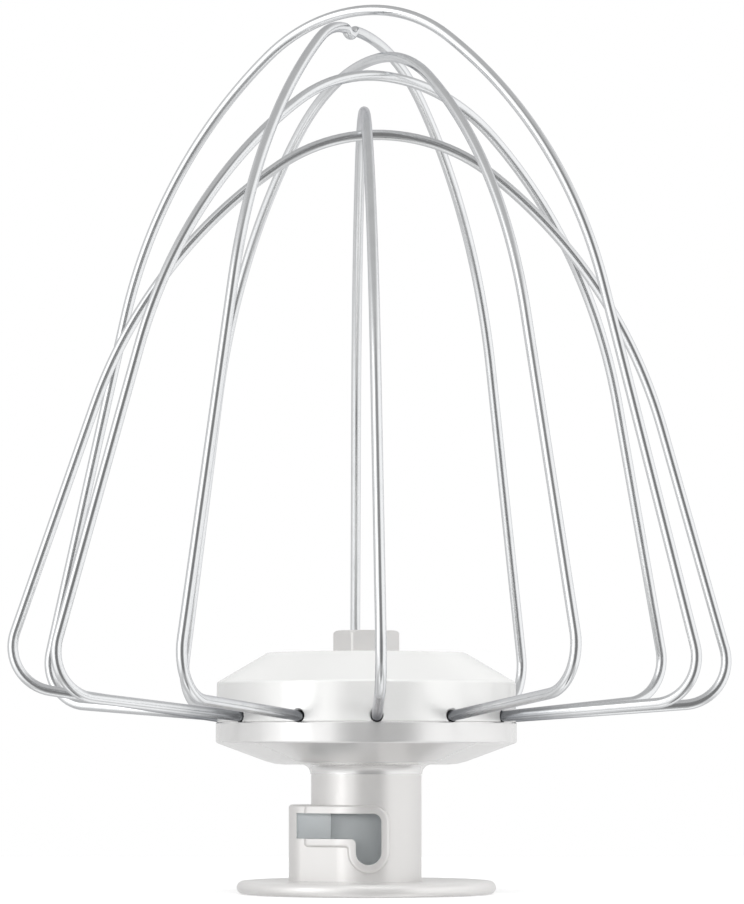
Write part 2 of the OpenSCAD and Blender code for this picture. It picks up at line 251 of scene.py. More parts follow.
def loop_of(points, place):
    """A bmesh with a closed outline of edges; place turns a point into (x, y, z)."""
    bm = bmesh.new()
    verts = [bm.verts.new(place(p)) for p in points]
    for a, b in zip(verts, verts[1:] + verts[:1]):
        bm.edges.new((a, b))
    return bm


def turned(outline, segments):
    """A ring turned about Z from a closed outline of (r, z)."""
    bm = loop_of(outline, lambda p: (p.x, 0, p.y))
    bmesh.ops.spin(bm, geom=bm.verts[:] + bm.edges[:], cent=(0, 0, 0), axis=(0, 0, 1),
                   angle=2 * pi, steps=segments, use_merge=True)
    return bm


def raised(outline, place, depth):
    """A prism: a closed outline filled and pushed out by depth."""
    bm = loop_of(outline, place)
    face = bmesh.ops.contextual_create(bm, geom=bm.edges[:])["faces"][0]
    grown = bmesh.ops.extrude_face_region(bm, geom=[face], use_keep_orig=True)["geom"]
    moved = [g for g in grown if isinstance(g, bmesh.types.BMVert)]
    bmesh.ops.translate(bm, verts=moved, vec=depth)
    bmesh.ops.recalc_face_normals(bm, faces=bm.faces)
    return bm


def soften(bm, radius, chosen):
    """Rounds the edges for which chosen(edge) holds, in four steps."""
    bmesh.ops.bevel(bm, geom=[e for e in bm.edges if chosen(e)], offset=radius, segments=4,
                    profile=0.5, affect="EDGES", material=-1, clamp_overlap=False)


def made_of(bm, name, material):
    """An object with one material, made from a bmesh, which it uses up."""
    mesh = bpy.data.meshes.new(name)
    bm.to_mesh(mesh)
    bm.free()
    mesh.materials.append(material)
    obj = bpy.data.objects.new(name, mesh)
    bpy.context.collection.objects.link(obj)
    return obj


def solid(bm, name, material):
    """An object of a closed shape, with its faces turned outwards."""
    bmesh.ops.recalc_face_normals(bm, faces=bm.faces)
    return made_of(bm, name, material)


def combined(obj, steps):
    """Joins, cuts or intersects an object with others, which it uses up.

    The faces that a cutter leaves take its material. The normals are weighted by
    face size, so that a flat face stays flat beside a rounding.
    """
    for operation, other in steps:
        mod = obj.modifiers.new("step", "BOOLEAN")
        mod.operation = operation
        mod.solver = "EXACT"
        mod.material_mode = "TRANSFER"
        mod.object = other
    bpy.context.view_layer.update()
    evaluated = obj.evaluated_get(bpy.context.evaluated_depsgraph_get())
    mesh = bpy.data.meshes.new_from_object(evaluated)
    obj.modifiers.clear()
    old = obj.data
    obj.data = mesh
    bpy.data.meshes.remove(old)
    for _, other in steps:
        bpy.data.objects.remove(other)
    even = obj.modifiers.new("even_normals", "WEIGHTED_NORMAL")
    even.keep_sharp = True
    return obj


def stands_for(obj, node_name, sharp=30):
    """Shades a finished piece, lets it ride on the one body and replace its CAD node."""
    shade(obj, sharp)
    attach(obj, "root")
    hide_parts(node_name)


def rod(bm, start, end, radius, end_radius=None, segments=48):
    """A cylinder or a cone from start to end."""
    along = end - start
    turn = along.to_track_quat("Z", "Y").to_matrix().to_4x4()
    bmesh.ops.create_cone(bm, cap_ends=True, segments=segments, radius1=radius,
                          radius2=end_radius or radius, depth=along.length,
                          matrix=Matrix.Translation((start + end) / 2) @ turn)


def pillar(name, radius, low, high, material, segments):
    """An upright cylinder about the drive axis."""
    bm = bmesh.new()
    rod(bm, Vector((0, 0, low)), Vector((0, 0, high)), radius, segments=segments)
    return solid(bm, name, material)


# ---------------------------------------------------------------- the wire's path

BEND_STEP = 1.4 * MM  # length of wire from one point of a wide bend to the next
BEND_TURN = 6  # turn from one point of a tight bend to the next, in degrees
BEND_MIDDLE = 0.29  # how far in from its corner the middle of a square bend lies


def arc_step(r, start, end):
    """How far in and up a bend takes the wire while its lean grows from start to end."""
    return Vector((cos(end) - cos(start), sin(end) - sin(start))) * r


class Hoop:
    """One hoop's sizes, worked out from the wire sizes and its own set.

    A hoop is drawn in its own plane, with u outwards on its front side and w up
    from the height of its feet, and is then placed on the whip.
    """

    def __init__(self, sizes, index):
        turn, lean, tip, offset, slide, pull, rise = HOOPS[index]
        self.s = sizes
        self.kinked = index == KINKED
        # Hoops come in pairs that cross at right angles, each turned on from the last.
        pair, second = divmod(index, 2)
        self.even_turn = sizes.cage_turn - pair * pi / len(HOOPS) - second * pi / 2
        self.turn = self.even_turn + radians(turn)
        self.plane_lean, self.tip = radians(lean), radians(tip)
        self.offset, self.slide, self.pull = offset * MM, slide * MM, pull * MM
        self.lift = sizes.corner_lift + sizes.lift_step * index
        self.crown = sizes.crown_z - sizes.crown_step * index + rise * MM
        self.lean0 = sizes.leg_lean + sizes.lean_step * index
        self.rim_r = BASE_HIGH.x - bpy.context.scene.whip_hub.cap_step
        self.foot_z = PARTING_Z + sizes.wire_d / 2

    def reach(self, side):
        """Distance of the corner's point from the axis."""
        return self.s.corner_reach - (self.pull if side == REAR else 0)

    def lean(self, side):
        """Inward lean of the leg."""
        return self.lean0 - (self.s.pull_lean * self.pull / MM if side == REAR else 0)

    def foot_rise(self, side):
        """Angle at which the foot climbs away from the hub."""
        return atan2(self.lift, self.reach(side) - self.rim_r)

    def corner_turn(self, side):
        """Turn of the corner from foot to leg."""
        return pi / 2 + self.lean(side) - self.foot_rise(side)

    def corner_tangent(self, side):
        """Length of foot and of leg that the corner's bend takes up."""
        return self.s.corner_r * tan(self.corner_turn(side) / 2)

    def crown_turn(self, side):
        """Turn left for this side's half of the crown."""
        return pi / 2 - self.lean(side) - self.s.shoulder_turn

    def foot_length(self, side):
        """Straight length of the foot outside the hub."""
        return hypot(self.reach(side) - self.rim_r, self.lift) - self.corner_tangent(side)

    def leg_and_crown(self, side):
        """Straight leg and crown radius that bring a side up to the crown."""
        s, a = self.s, self.lean(side)
        middle = s.kink_place if self.kinked else 0
        run = s.kink_r * (sin(s.kink_down) + sin(s.kink_up)) if self.kinked else 0
        fall = s.kink_r * (cos(s.kink_up) - cos(s.kink_down)) if self.kinked else 0
        goal = Vector((side * middle + run - self.reach(side),
                       self.crown + side * fall - self.foot_z - self.lift))
        goal -= arc_step(s.shoulder_r, a, a + s.shoulder_turn)
        top = arc_step(1, a + s.shoulder_turn, pi / 2)
        across, up = -sin(a), cos(a)
        det = across * top.y - up * top.x
        return (goal.x * top.y - goal.y * top.x) / det, (across * goal.y - up * goal.x) / det

    def moves(self):
        """Straight lengths (l,) and bends (radius, turn) from the front corner on."""
        s = self.s
        leg_f, crown_f = self.leg_and_crown(FRONT)
        leg_r, crown_r = self.leg_and_crown(REAR)
        kink = ((s.kink_r, s.kink_down), (s.kink_r, -s.kink_down - s.kink_up),
                (s.kink_r, s.kink_up)) if self.kinked else ()
        return (
            (s.corner_r, self.corner_turn(FRONT)), (leg_f - self.corner_tangent(FRONT),),
            (s.shoulder_r, s.shoulder_turn), (crown_f, self.crown_turn(FRONT)),
            *kink,
            (crown_r, self.crown_turn(REAR)), (s.shoulder_r, s.shoulder_turn),
            (leg_r - self.corner_tangent(REAR),), (s.corner_r, self.corner_turn(REAR)),
        )

    def place(self):
        """From the hoop's plane (u, 0, w) to the whip."""
        return (Matrix.Rotation(self.turn - pi / 2, 4, "Z")
                @ Matrix.Translation((0, self.offset, self.foot_z))
                @ Matrix.Rotation(-self.tip, 4, "X")
                @ Matrix.Rotation(-self.plane_lean, 4, "Y")
                @ Matrix.Translation((self.slide, 0, 0)))

    def foot_end(self, side):
        """Where the foot meets its corner's bend."""
        rise, run = self.foot_rise(side), self.foot_length(side)
        return self.place() @ Vector((side * (self.rim_r + run * cos(rise)), 0, run * sin(rise)))

    def notch(self, side):
        """Where the foot leaves the hub, on even steps round it."""
        a = self.even_turn
        return Vector((side * self.rim_r * sin(a), -side * self.rim_r * cos(a), self.foot_z))

    def anchor(self, side):
        """Where a foot ends, straight on from its corner through its notch."""
        notch = self.notch(side)
        inward = notch - self.foot_end(side)
        return notch + inward * (self.rim_r - self.s.anchor_r) / inward.xy.length

    def path(self):
        """Points along the whole wire, from the front hook to the rear hook."""
        rise, run = self.foot_rise(FRONT), self.foot_length(FRONT)
        at = Vector((self.rim_r + run * cos(rise), run * sin(rise)))
        heading = rise
        plane = [at.copy()]
        for move in self.moves():
            if len(move) == 1:
                at = at + Vector((cos(heading), sin(heading))) * move[0]
                plane.append(at.copy())
                continue
            radius, turn = move
            side = 1 if turn > 0 else -1
            centre = at + Vector((-sin(heading), cos(heading))) * (side * radius)
            count = max(int(radius * abs(turn) / BEND_STEP), int(abs(degrees(turn)) / BEND_TURN), 2)
            for i in range(1, count + 1):
                h = heading + turn * i / count
                plane.append(centre + Vector((sin(h), -cos(h))) * (side * radius))
            heading += turn
            at = plane[-1].copy()
        place = self.place()
        hoop = [place @ Vector((p.x, 0, p.y)) for p in plane]
        hook_z = PARTING_Z - self.s.hook_depth
        front, rear = self.anchor(FRONT), self.anchor(REAR)
        low_f, low_r = (Vector((p.x, p.y, hook_z)) for p in (front, rear))
        bend_r = self.s.hook_bend_r
        return [low_f, *bend(low_f, front, hoop[0], bend_r), *hoop,
                *bend(hoop[-1], rear, low_r, bend_r), low_r]


def bend(before, corner, after, radius):
    """Three points of a small bend, which take the place of a sharp corner."""
    back = (before - corner).normalized() * radius
    on = (after - corner).normalized() * radius
    return corner + back, corner + (back + on) * BEND_MIDDLE, corner + on


def swept(points, radius, sides):
    """A round wire along the points: one ring, extruded and turned from point to point."""
    bm = bmesh.new()
    heading = (points[1] - points[0]).normalized()
    start = Matrix.Translation(points[0]) @ heading.to_track_quat("Z", "Y").to_matrix().to_4x4()
    bmesh.ops.create_circle(bm, cap_ends=True, segments=sides, radius=radius, matrix=start)
    edges = bm.edges[:]
    last = len(points) - 1
    for i in range(1, last + 1):
        grown = bmesh.ops.extrude_edge_only(bm, edges=edges)["geom"]
        verts = [g for g in grown if isinstance(g, bmesh.types.BMVert)]
        edges = [g for g in grown if isinstance(g, bmesh.types.BMEdge)
                 and all(v in verts for v in g.verts)]
        mean = (points[i] - points[i - 1]).normalized()
        if i < last:
            mean = (mean + (points[i + 1] - points[i]).normalized()).normalized()
        turn = heading.rotation_difference(mean).to_matrix()
        bmesh.ops.translate(bm, verts=verts, vec=points[i] - points[i - 1])
        bmesh.ops.rotate(bm, verts=verts, cent=points[i], matrix=turn)
        heading = mean
    bmesh.ops.edgeloop_fill(bm, edges=edges)
    return bm


# ---------------------------------------------------------------- materials

# Each metal's colour, its roughness and how patchy that is, how metallic it is,
# and the strength of its fine relief.
METALS = {
    "drawn_wire": ("wire", 0.2, 0.06, 1.0, 0.004),
    "cap_metal": ("cap", 0.24, 0.04, 0.35, 0.02),
    "base_metal": ("base", 0.23, 0.04, 0.65, 0.02),
    "turned_metal": ("metal", 0.32, 0.05, 0.44, 0.02),
    "socket_metal": ("socket", 0.6, 0.08, 0.0, 0.02),
    "nut_metal": ("nut", 0.38, 0.05, 0.4, 0.02),
    "inner_steel": ("inner", 0.4, 0.1, 1.0, 0.02),
}
PATCH_SCALE = 90  # patches of roughness, about a centimetre across
RELIEF_SCALE = 1500  # the fine relief, under a millimetre from rise to rise
RELIEF_DEPTH = 0.02 * MM
# Distance from the middle of the hub's parting up to which the wire carries its full painted shade,
# and from which it carries none.
FULL_SHADE_TO = BASE_HIGH.x
SHADE_GONE_FROM = 1.7 * BASE_HIGH.x
MOTTLE_SCALE = 300  # spots about three millimetres across
MOTTLE_SHARE = 0.3  # how much they shift the wire between its painted shade and its own colour
WIRE_EDGE_TINT = (0.65, 0.65, 0.67, 1)  # of what the wire mirrors at a low angle
MIX_A, MIX_B, MIX_RESULT = 6, 7, 2  # the colour sockets of a Mix node


def colours():
    """The colours set in their group."""
    return bpy.context.scene.whip_colours


def node(tree, kind, x=0, y=0, **settings):
    """A new node at a place in the node editor, with its settings."""
    made = tree.nodes.new(kind)
    made.location = (x, y)
    for key, value in settings.items():
        setattr(made, key, value)
    return made


def link(tree, a, b):
    """Leads a node's output to another's input."""
    tree.links.new(a, b)


def surface_group():
    """What all the metals share: patchy roughness and a fine relief."""
    name = "Metal Surface"
    if name in bpy.data.node_groups:
        return bpy.data.node_groups[name]
    g = bpy.data.node_groups.new(name, "ShaderNodeTree")
    for label, kind, way in (
        ("Vector", "NodeSocketVector", "INPUT"),
        ("Base Roughness", "NodeSocketFloat", "INPUT"),
        ("Patchiness", "NodeSocketFloat", "INPUT"),
        ("Roughness", "NodeSocketFloat", "OUTPUT"),
        ("Height", "NodeSocketFloat", "OUTPUT"),
    ):
        g.interface.new_socket(name=label, in_out=way, socket_type=kind)
    given = node(g, "NodeGroupInput", -800)
    out = node(g, "NodeGroupOutput", 600)
    patches = node(g, "ShaderNodeTexNoise", -500, 200)
    patches.inputs["Scale"].default_value = PATCH_SCALE
    patches.inputs["Detail"].default_value = 3
    fine = node(g, "ShaderNodeTexNoise", -500, -200)
    fine.inputs["Scale"].default_value = RELIEF_SCALE
    fine.inputs["Detail"].default_value = 2
    centred = node(g, "ShaderNodeMath", -250, 200, operation="SUBTRACT")
    centred.inputs[1].default_value = 0.5
    scaled = node(g, "ShaderNodeMath", 0, 200, operation="MULTIPLY_ADD")
    link(g, given.outputs["Vector"], patches.inputs["Vector"])
    link(g, given.outputs["Vector"], fine.inputs["Vector"])
    link(g, patches.outputs["Fac"], centred.inputs[0])
    link(g, centred.outputs[0], scaled.inputs[0])
    link(g, given.outputs["Patchiness"], scaled.inputs[1])
    link(g, given.outputs["Base Roughness"], scaled.inputs[2])
    link(g, scaled.outputs[0], out.inputs["Roughness"])
    link(g, fine.outputs["Fac"], out.inputs["Height"])
    return g


def metal(name):
    """One of the metals in the table, made once."""
    if name in bpy.data.materials:
        return bpy.data.materials[name]
    colour_name, roughness, patchiness, metallic, relief_strength = METALS[name]
    m = bpy.data.materials.new(name)
    m.use_nodes = True
    t = m.node_tree
    bsdf = t.nodes["Principled BSDF"]
    bsdf.inputs["Base Color"].default_value = (*getattr(colours(), colour_name), 1)
    bsdf.inputs["Metallic"].default_value = metallic
    coords = node(t, "ShaderNodeTexCoord", -900)
    surface = node(t, "ShaderNodeGroup", -600, node_tree=surface_group())
    surface.inputs["Base Roughness"].default_value = roughness
    surface.inputs["Patchiness"].default_value = patchiness
    relief = node(t, "ShaderNodeBump", -300, -200)
    relief.inputs["Strength"].default_value = relief_strength
    relief.inputs["Distance"].default_value = RELIEF_DEPTH
    link(t, coords.outputs["Object"], surface.inputs["Vector"])
    link(t, surface.outputs["Roughness"], bsdf.inputs["Roughness"])
    link(t, surface.outputs["Height"], relief.inputs["Height"])
    link(t, relief.outputs["Normal"], bsdf.inputs["Normal"])
    return m


def wire_steel():
    """Bright drawn wire, with painted shade that darkens its feet towards the clamp."""
    if "drawn_wire" in bpy.data.materials:
        return bpy.data.materials["drawn_wire"]
    m = metal("drawn_wire")
    t = m.node_tree
    bsdf = t.nodes["Principled BSDF"]
    coords = next(n for n in t.nodes if n.type == "TEX_COORD")
    # Painted shade: the colour goes from the wire's own towards a dark grey as the hub comes near,
    # with spots that make its edge uneven.
    away = node(t, "ShaderNodeVectorMath", -600, 500, operation="DISTANCE")
    away.inputs[1].default_value = (0, 0, PARTING_Z)
    unshaded = node(t, "ShaderNodeMapRange", -450, 500, interpolation_type="SMOOTHSTEP")
    unshaded.inputs["From Min"].default_value = FULL_SHADE_TO
    unshaded.inputs["From Max"].default_value = SHADE_GONE_FROM
    mottle = node(t, "ShaderNodeTexNoise", -600, 300)
    mottle.inputs["Scale"].default_value = MOTTLE_SCALE
    centred = node(t, "ShaderNodeMath", -450, 300, operation="SUBTRACT")
    centred.inputs[1].default_value = 0.5
    uneven = node(t, "ShaderNodeMath", -300, 400, operation="MULTIPLY_ADD", use_clamp=True)
    uneven.inputs[1].default_value = MOTTLE_SHARE
    mix = node(t, "ShaderNodeMix", -150, 400, data_type="RGBA")
    mix.inputs[MIX_A].default_value = (*colours().wire_painted_shade, 1)
    mix.inputs[MIX_B].default_value = (*colours().wire, 1)
    link(t, coords.outputs["Object"], away.inputs[0])
    link(t, coords.outputs["Object"], mottle.inputs["Vector"])
    link(t, away.outputs["Value"], unshaded.inputs["Value"])
    link(t, mottle.outputs["Fac"], centred.inputs[0])
    link(t, centred.outputs[0], uneven.inputs[0])
    link(t, unshaded.outputs[0], uneven.inputs[2])
    link(t, uneven.outputs[0], mix.inputs[0])
    link(t, mix.outputs[MIX_RESULT], bsdf.inputs["Base Color"])
    bsdf.inputs["Specular Tint"].default_value = WIRE_EDGE_TINT
    return m


# ---------------------------------------------------------------- sleeve and flange

def sleeve_sizes():
    """The sizes set in the sleeve's group."""
    return bpy.context.scene.whip_sleeve


def slot_z():
    """Height of the bayonet slot's upper edge."""
    return FLANGE_HIGH.z + sleeve_sizes().slot_rise


def entry_channel(material):
    """The way in for the cross pin, up from the flange's underside."""
    s = sleeve_sizes()
    low, high = FLANGE_LOW.z - PAST, slot_z()
    bm = bmesh.new()
    size = Matrix.Diagonal((s.channel_x, s.slot_w, high - low, 1))
    place = Matrix.Translation((-s.channel_x / 2, 0, (low + high) / 2))
    bmesh.ops.create_cube(bm, size=1, matrix=place @ size)
    return solid(bm, "channel", material)


def slot_outline(reach, grow=0.0):
    """The bayonet slot as it is seen from the front, grown by a margin."""
    s = sleeve_sizes()
    half = s.slot_w / 2 + grow
    left, right = s.leg_x - half, s.leg_x + half
    top = slot_z() + grow
    run = slot_z() - s.slot_w - grow
    end = slot_z() - s.leg_drop - grow
    points = ((-reach, run), (left, run), (left, end), (right, end), (right, top), (-reach, top))
    corners = {1: s.elbow_r, 2: half * FULL, 3: half * FULL, 4: s.slot_corner_r + grow}
    if grow:
        corners |= {0: grow / 2, 1: s.elbow_r / 2, 5: grow / 2}
    return rounded(points, corners, step=9)


def boss_middle():
    """How far the middle of the boss's round end is from the drive axis."""
    s = sleeve_sizes()
    return s.channel_x + s.channel_wall - s.boss_end_r


def boss_turn():
    """The turn about the drive axis, from the boss's end, at which its side leaves the sleeve."""
    s = sleeve_sizes()
    return acos((s.sleeve_r - s.boss_end_r) / boss_middle())


def rim_face(outer, x):
    """How far in front of the drive axis the rim stands: over the sleeve, then over the boss."""
    a = boss_turn()
    if -x < outer * cos(a):
        return sqrt(outer ** 2 - x ** 2)
    return (outer + x * cos(a)) / sin(a)


def slot_rim(strips=36):
    """The raised rim around the slot: a flat plate with soft edges, bent round sleeve and boss.

    The plate is cut into upright strips first, so that it can bend.
    """
    s = sleeve_sizes()
    outer = s.sleeve_r + s.rim_h
    depth = Vector((0, 2 * s.rim_h, 0))
    bm = raised(slot_outline(s.rim_reach, s.rim_w), lambda p: (p.x, -outer, p.y), depth)
    soften(bm, s.soft_edge, lambda e: all(v.co.y < depth.y / 2 - outer for v in e.verts))
    lowest, highest = min(v.co.x for v in bm.verts), max(v.co.x for v in bm.verts)
    for i in range(1, strips):
        x = lowest + (highest - lowest) * i / strips
        bmesh.ops.bisect_plane(bm, geom=bm.verts[:] + bm.edges[:] + bm.faces[:], dist=1e-7,
                               plane_co=(x, 0, 0), plane_no=(1, 0, 0))
    for v in bm.verts:
        v.co.y += outer - rim_face(outer, v.co.x)
    return bm


def slot_boss(steps=48):
    """The boss over the entry channel: a round end drawn out of the sleeve."""
    s = sleeve_sizes()
    a = boss_turn()
    out = Vector((-cos(a), sin(a)))
    end = [Vector((-boss_middle(), 0)) + Vector((-cos(t), sin(t))) * s.boss_end_r
           for t in (a - 2 * a * i / steps for i in range(steps + 1))]
    outline = [out * s.sleeve_r, *end, Vector((out.x, -out.y)) * s.sleeve_r]
    top = slot_z() + s.rim_w
    bm = raised(outline, lambda p: (p.x, p.y, FLANGE_HIGH.z), Vector((0, 0, top - FLANGE_HIGH.z)))
    soften(bm, s.soft_edge, lambda e: all(v.co.z > top - TINY for v in e.verts))
    return bm


def make_sleeve(hub):
    """The drive sleeve: tube, boss and rim, less its bore, its slot and the way in."""
    s = sleeve_sizes()
    outside, inside = metal("turned_metal"), metal("socket_metal")
    low, high, bore_z = SLEEVE_LOW.z, SLEEVE_HIGH.z, SLEEVE_HIGH.z - s.web_t
    slot = raised(slot_outline(s.channel_x), lambda p: (p.x, -2 * s.sleeve_r, p.y),
                  Vector((0, 2 * s.sleeve_r, 0)))
    sleeve = combined(pillar("sleeve", s.sleeve_r, low, high, outside, hub.segments), (
        ("UNION", solid(slot_boss(), "boss", outside)),
        ("UNION", solid(slot_rim(), "rim", outside)),
        ("DIFFERENCE", pillar("bore", s.bore_r, -PAST, bore_z, inside, hub.segments)),
        ("DIFFERENCE", pillar("stud_hole", hub.stud_r, 0, high + PAST, inside, hub.stud_sides)),
        ("DIFFERENCE", entry_channel(inside)),
        ("DIFFERENCE", solid(slot, "slot", inside)),
    ))
    stands_for(sleeve, "drive_sleeve")


def make_flange(hub):
    """The drip flange: a disc with a full-round edge, open for the entry channel."""
    s = sleeve_sizes()
    low, high, edge = FLANGE_LOW.z, FLANGE_HIGH.z, FLANGE_HIGH.x
    outline = rounded(((s.sleeve_r, low), (edge, low), (edge, high), (s.sleeve_r, high)),
                      {1: hub.flange_round, 2: hub.flange_round})
    flange = combined(solid(turned(outline, hub.segments), "flange", metal("turned_metal")),
                      (("DIFFERENCE", entry_channel(metal("turned_metal"))),))
    stands_for(flange, "drip_flange")


# ---------------------------------------------------------------- hub

def feet(sizes):
    """Every foot of the cage, as its hoop and its side."""
    for index in range(len(HOOPS)):
        hoop = Hoop(sizes, index)
        for side in (FRONT, REAR):
            yield hoop, side


def wire_beds(name, sizes, material):
    """The beds of all the feet, as one cutter."""
    bm = bmesh.new()
    for hoop, side in feet(sizes):
        rod(bm, hoop.anchor(side), hoop.foot_end(side), sizes.wire_d / 2 + sizes.bed_gap)
    return solid(bm, name, material)


def notch_mouths(hub, sizes, material):
    """The flared mouths of the cap's notches, as one cutter.

    Each is a cone that starts inside its bed, so that no face of the two coincides.
    """
    bm = bmesh.new()
    bed_r, flare = sizes.wire_d / 2 + sizes.bed_gap, hub.notch_flare
    for hoop, side in feet(sizes):
        notch = hoop.notch(side)
        out = (hoop.foot_end(side) - notch).normalized() * flare
        rod(bm, notch - 2 * out, notch + out, bed_r - flare, bed_r + 2 * flare, segments=40)
    return solid(bm, "notch_mouths", material)


def make_base(hub, sizes):
    """The hub base: neck, dish and band, with a groove for the hooks and beds for the feet."""
    s = sleeve_sizes()
    neck_z, band_r = BASE_LOW.z, BASE_HIGH.x
    neck_r = s.sleeve_r + hub.neck_step
    dish_z = neck_z + hub.neck_h
    flat_r = neck_r + hub.neck_h + hub.dish_flat
    hole_r = hub.stud_r + hub.stud_gap
    hook = sizes.wire_d / 2 + hub.hook_gap
    groove_z = PARTING_Z - sizes.hook_depth - hub.hook_gap
    outline = rounded((
        (s.sleeve_r, neck_z), (neck_r, neck_z), (neck_r, dish_z), (flat_r, dish_z),
        (band_r, dish_z + hub.dish_rise), (band_r, PARTING_Z),
        (sizes.anchor_r + hook, PARTING_Z), (sizes.anchor_r + hook, groove_z),
        (sizes.anchor_r - hook, groove_z), (sizes.anchor_r - hook, PARTING_Z),
        (hole_r, PARTING_Z), (hole_r, SLEEVE_HIGH.z), (s.sleeve_r, SLEEVE_HIGH.z),
    ), {2: hub.neck_h * FULL, 3: hub.dish_bend_r, 4: hub.band_low_round, 5: hub.band_round}, step=9)
    base = combined(solid(turned(outline, hub.segments), "base", metal("base_metal")),
                    (("DIFFERENCE", wire_beds("base_beds", sizes, metal("base_metal"))),))
    stands_for(base, "hub_base")


def make_cap(hub, sizes):
    """The hub cap: side, bevel and top over a hollow, with a boss that presses on the plate."""
    rim_r = BASE_HIGH.x - hub.cap_step
    side_z, top_z = PARTING_Z + hub.side_h, CAP_HIGH.z
    top_r, inner_r = rim_r - hub.bevel_run, rim_r - hub.cap_wall
    roof_z = top_z - hub.cap_wall
    hole_r = hub.stud_r + hub.stud_gap
    outline = rounded((
        (rim_r, PARTING_Z), (rim_r, side_z), (top_r, top_z), (hole_r, top_z),
        (hole_r, PARTING_Z + hub.plate_top), (hub.press_r, PARTING_Z + hub.plate_top),
        (hub.press_r, roof_z), (top_r, roof_z), (inner_r, side_z - hub.cap_wall / 2),
        (inner_r, PARTING_Z),
    ), {0: hub.band_round / 2, 1: hub.cap_round, 2: hub.cap_round}, step=6)
    cap = combined(solid(turned(outline, hub.segments), "cap", metal("cap_metal")), (
        ("DIFFERENCE", wire_beds("cap_beds", sizes, metal("cap_metal"))),
        ("DIFFERENCE", notch_mouths(hub, sizes, metal("cap_metal"))),
    ))
    stands_for(cap, "hub_cap")


def make_nut(hub):
    """The nut: a hexagon with soft edges, cut to a round top, over a hole for the stud."""
    steel = metal("nut_metal")
    low, high = NUT_LOW.z, NUT_HIGH.z
    corner = hub.nut_flats / sqrt(3)
    hexagon = bmesh.new()
    rod(hexagon, Vector((0, 0, low)), Vector((0, 0, high)), corner, segments=6)
    soften(hexagon, hub.nut_edge, lambda e: abs(e.verts[0].co.z - e.verts[1].co.z) > TINY)
    # A new prism's first corner stands on Y, and the nut's turn counts from X.
    turn = Matrix.Rotation(hub.nut_turn + pi / 6, 3, "Z")
    bmesh.ops.rotate(hexagon, verts=hexagon.verts, cent=(0, 0, 0), matrix=turn)
    dome = bmesh.new()
    rod(dome, Vector((0, 0, low - PAST)), Vector((0, 0, high)), corner, segments=96)
    soften(dome, hub.nut_round, lambda e: all(v.co.z > high - TINY for v in e.verts))
    hole = pillar("nut_hole", hub.stud_r, low - PAST, high - hub.nut_skin, steel, hub.stud_sides)
    nut = combined(solid(hexagon, "nut", steel), (
        ("INTERSECT", solid(dome, "nut_round", steel)),
        ("DIFFERENCE", hole),
    ))
    stands_for(nut, "hex_nut")


def dress_clamp():
    """Gives the clamp plate and the stud, which stay as the CAD has them, their steel."""
    for name in ("clamp_plate", "clamp_stud"):
        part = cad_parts[name]
        part.data.materials.clear()
        part.data.materials.append(metal("inner_steel"))


# ---------------------------------------------------------------- stage

FLOOR_HALF = 0.25  # half the floor's width
FLOOR_DROP = 0.1 * MM  # how far the floor lies under the flange, so that they don't touch
FLOOR_GLOW = 0.6  # brings the floor up to white for the camera; its shadows stay
# The studio's walls, once round from behind the object by its left, front and
# right: azimuth in degrees from -Y towards +X, and brightness.
STUDIO_WALLS = (
    (-180, 0.85), (-150, 0.8), (-115, 0.76), (-90, 0.78), (-76, 1.15), (-28, 1.15),
    (-20, 0.55), (-11, 0.22), (29, 0.22), (38, 0.55), (48, 1.1), (100, 1.12),
    (140, 1.0), (165, 0.9), (180, 0.85),
)
# How much of a plain grey shows before them, by the sine of the elevation:
# overhead, and in a band low down.
STUDIO_GREY = (
    (-1.0, 0.0), (-0.88, 0.0), (-0.78, 0.7), (-0.66, 0.7), (-0.54, 0.0),
    (0.55, 0.0), (0.8, 1.0), (1.0, 1.0),
)
GREY_LEVEL = 0.54  # brightness of that grey
WHITE_LEVEL = 1.0  # what the camera sees behind the object
DIFFUSE_SHARE = 0.4  # how much of the studio lights a dull surface; the lamps do the rest
# Name, place, the point it faces, width and height, power, and whether metal mirrors it.
LAMPS = (
    ("key", (-0.75, -0.55, 0.25), (0, 0, 0.07), (0.3, 0.9), 0.8, True),
    ("top", (0, -0.4, 0.85), (0, -0.05, 0.03), (0.7, 0.6), 7.0, False),
    ("fill", (0.1, -0.9, 0.05), (0, 0, 0.02), (0.5, 0.08), 2.6, False),
)
SENSOR_WIDTH = 36  # millimetres
CLIP_NEAR, CLIP_FAR = 0.01, 20


